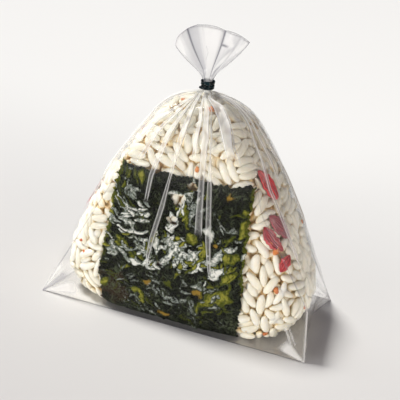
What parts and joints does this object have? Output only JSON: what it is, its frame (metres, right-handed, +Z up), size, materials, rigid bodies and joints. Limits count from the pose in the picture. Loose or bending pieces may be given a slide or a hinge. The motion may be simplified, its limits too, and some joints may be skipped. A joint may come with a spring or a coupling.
{
  "type": "bagged onigiri rice ball",
  "caption": "Triangular rice ball with a nori sheet in a clear square-bottomed bag, gathered at the top and closed by a wound elastic band.",
  "frame": {"origin": "middle of the bag's flat bottom, on the surface that it stands on", "axes": "+Z up to the tied neck, -Y the way the face with the nori looks, +X to the right of that face"},
  "size_m": [0.092, 0.0408, 0.0944],
  "materials": {
    "rice": "moist cooked white rice grains, cream with golden gaps",
    "film": "thin clear glossy food film with soft folds",
    "nori": "crinkled dried seaweed sheet, black-green with olive patches and a dull gloss",
    "plum": "fibrous red pickled plum flesh, moist",
    "flake": "small orange flakes of the filling, moist",
    "band": "glossy dark green-black elastic band, wound round the neck"
  },
  "bodies": {
    "root": {"filled_bag": "rice", "neck_tie": "band"}
  },
  "joints": []
}
